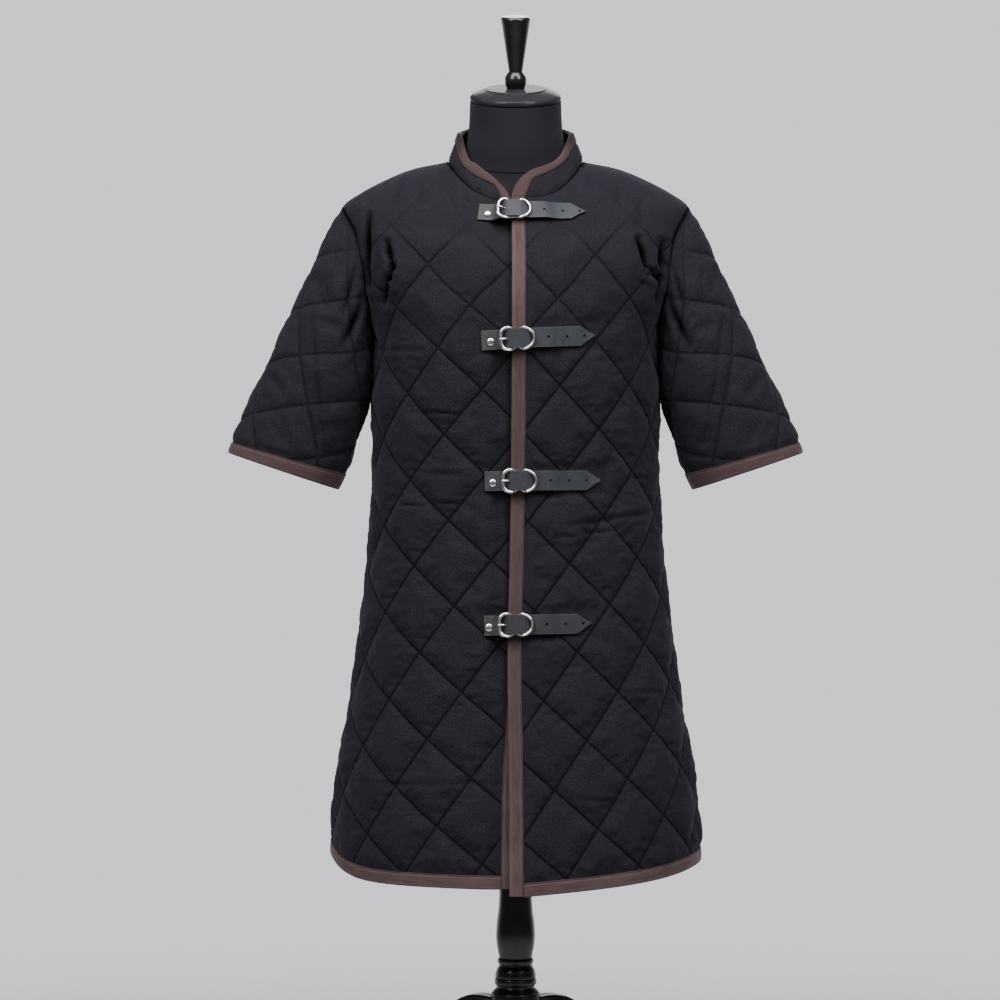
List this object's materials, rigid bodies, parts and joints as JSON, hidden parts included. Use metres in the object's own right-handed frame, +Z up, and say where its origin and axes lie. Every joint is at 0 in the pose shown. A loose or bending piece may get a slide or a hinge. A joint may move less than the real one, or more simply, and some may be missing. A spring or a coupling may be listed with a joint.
{
  "type": "gambeson on a dress form",
  "caption": "Quilted knee-length gambeson with stand collar, elbow sleeves, suede-bound edges and buckled straps, worn by a limbless dress form on a turned tripod stand.",
  "frame": {"origin": "on the floor under the middle of the outline seen from above", "axes": "+Z up; the garment's front faces -Y; the wearer's left is +X"},
  "size_m": [0.7676, 0.4701, 1.6074],
  "materials": {
    "cloth": "quilted twill",
    "binding": "suede",
    "leather": "worn satin",
    "nickel": "polished",
    "jersey": "knit jersey",
    "lacquer": "gloss black lacquer"
  },
  "bodies": {
    "root": {"front_left": "cloth", "front_right": "cloth", "back": "cloth", "sleeve_left": "cloth", "sleeve_right": "cloth", "collar": "cloth", "binding_collar": "binding", "binding_front_left": "binding", "binding_front_right": "binding", "binding_hem": "binding", "binding_cuff_left": "binding", "binding_cuff_right": "binding", "strap_1": "leather", "chape_1": "leather", "rivet_1": "nickel", "buckle_1": "nickel", "tongue_1": "nickel", "strap_2": "leather", "chape_2": "leather", "rivet_2": "nickel", "buckle_2": "nickel", "tongue_2": "nickel", "strap_3": "leather", "chape_3": "leather", "rivet_3": "nickel", "buckle_3": "nickel", "tongue_3": "nickel", "strap_4": "leather", "chape_4": "leather", "rivet_4": "nickel", "buckle_4": "nickel", "tongue_4": "nickel", "form_body": "jersey", "neck_cap": "lacquer", "finial": "lacquer", "pole": "lacquer", "leg_front": "lacquer", "leg_left": "lacquer", "leg_right": "lacquer"}
  },
  "joints": []
}
